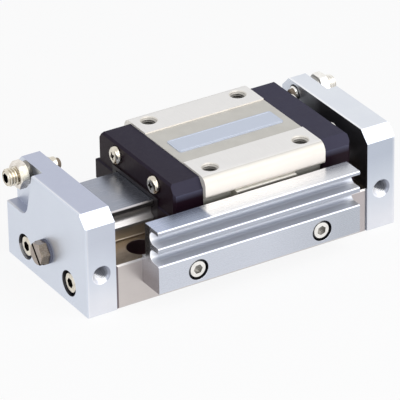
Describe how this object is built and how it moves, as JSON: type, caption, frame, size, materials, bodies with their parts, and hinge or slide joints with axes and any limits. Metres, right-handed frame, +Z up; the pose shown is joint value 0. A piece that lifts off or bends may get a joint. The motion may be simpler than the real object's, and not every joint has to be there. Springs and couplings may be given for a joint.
{
  "type": "pneumatic slide table",
  "caption": "Short pneumatic slide table: a ball-guided steel table on a rail that is also the air cylinder, with end plates, stop adjusters and a switch rail.",
  "frame": {"origin": "centre of the base's bottom face, midway between the end plates", "axes": "+X along the slide towards the right-hand end plate, +Y towards the stop adjusters, +Z up from the base to the table"},
  "size_m": [0.1206, 0.0601, 0.036],
  "materials": {
    "rail_steel": "ground, warm grey",
    "plate_aluminium": "clear anodised, satin",
    "switch_rail_aluminium": "extruded, clear anodised",
    "block_steel": "finely ground, bright",
    "bright_fasteners": "nickel plated",
    "plug_nickel": "dull nickel plated brass",
    "cap_plastic": "moulded, fine matt",
    "guide_plastic": "moulded",
    "ring_plastic": "filled bearing plastic",
    "seal_rubber": "matt",
    "bumper_rubber": "satin urethane",
    "ball_steel": "polished",
    "label_foil": "bare silver-blue plate",
    "holder_aluminium": "machined",
    "magnet_ferrite": "plated",
    "bush_bronze": "turned"
  },
  "bodies": {
    "body": {"guide_rail": "rail_steel", "left_end_plate": "plate_aluminium", "right_end_plate": "plate_aluminium", "left_plate_screws": "bright_fasteners", "right_plate_screws": "bright_fasteners", "left_port_plug": "plug_nickel", "right_port_plug": "plug_nickel", "left_plug_gasket": "seal_rubber", "right_plug_gasket": "seal_rubber", "left_bore_seal": "seal_rubber", "right_bore_seal": "seal_rubber", "left_lock_nut": "bright_fasteners", "right_lock_nut": "bright_fasteners", "switch_rail": "switch_rail_aluminium", "switch_rail_screws": "bright_fasteners"},
    "table": {"slide_block": "block_steel", "left_end_cap": "cap_plastic", "right_end_cap": "cap_plastic", "left_cap_screws": "bright_fasteners", "right_cap_screws": "bright_fasteners", "left_return_guides": "guide_plastic", "right_return_guides": "guide_plastic", "left_scraper": "seal_rubber", "right_scraper": "seal_rubber", "near_balls": "ball_steel", "far_balls": "ball_steel", "ball_retainers": "ball_steel", "label_plate": "label_foil", "magnet_holder": "holder_aluminium", "sensing_magnet": "magnet_ferrite", "magnet_screws": "bright_fasteners", "twin_piston": "holder_aluminium", "left_piston_seal": "seal_rubber", "right_piston_seal": "seal_rubber", "left_wear_ring": "ring_plastic", "right_wear_ring": "ring_plastic", "floating_bush": "bush_bronze", "drive_pin": "ball_steel"},
    "left_adjuster": {"left_adjuster_bolt": "bright_fasteners", "left_bumper": "bumper_rubber"},
    "right_adjuster": {"right_adjuster_bolt": "bright_fasteners", "right_bumper": "bumper_rubber"}
  },
  "joints": [
    {"name": "table_slide", "type": "slide", "parent": "body", "child": "table", "axis": [1, 0, 0], "range_m": [-0.0172, 0.0028]},
    {"name": "left_stop_adjust", "type": "slide", "parent": "body", "child": "left_adjuster", "axis": [-1, 0, 0], "range_m": [0, 0.0025]},
    {"name": "right_stop_adjust", "type": "slide", "parent": "body", "child": "right_adjuster", "axis": [1, 0, 0], "range_m": [0, 0.0018]}
  ]
}
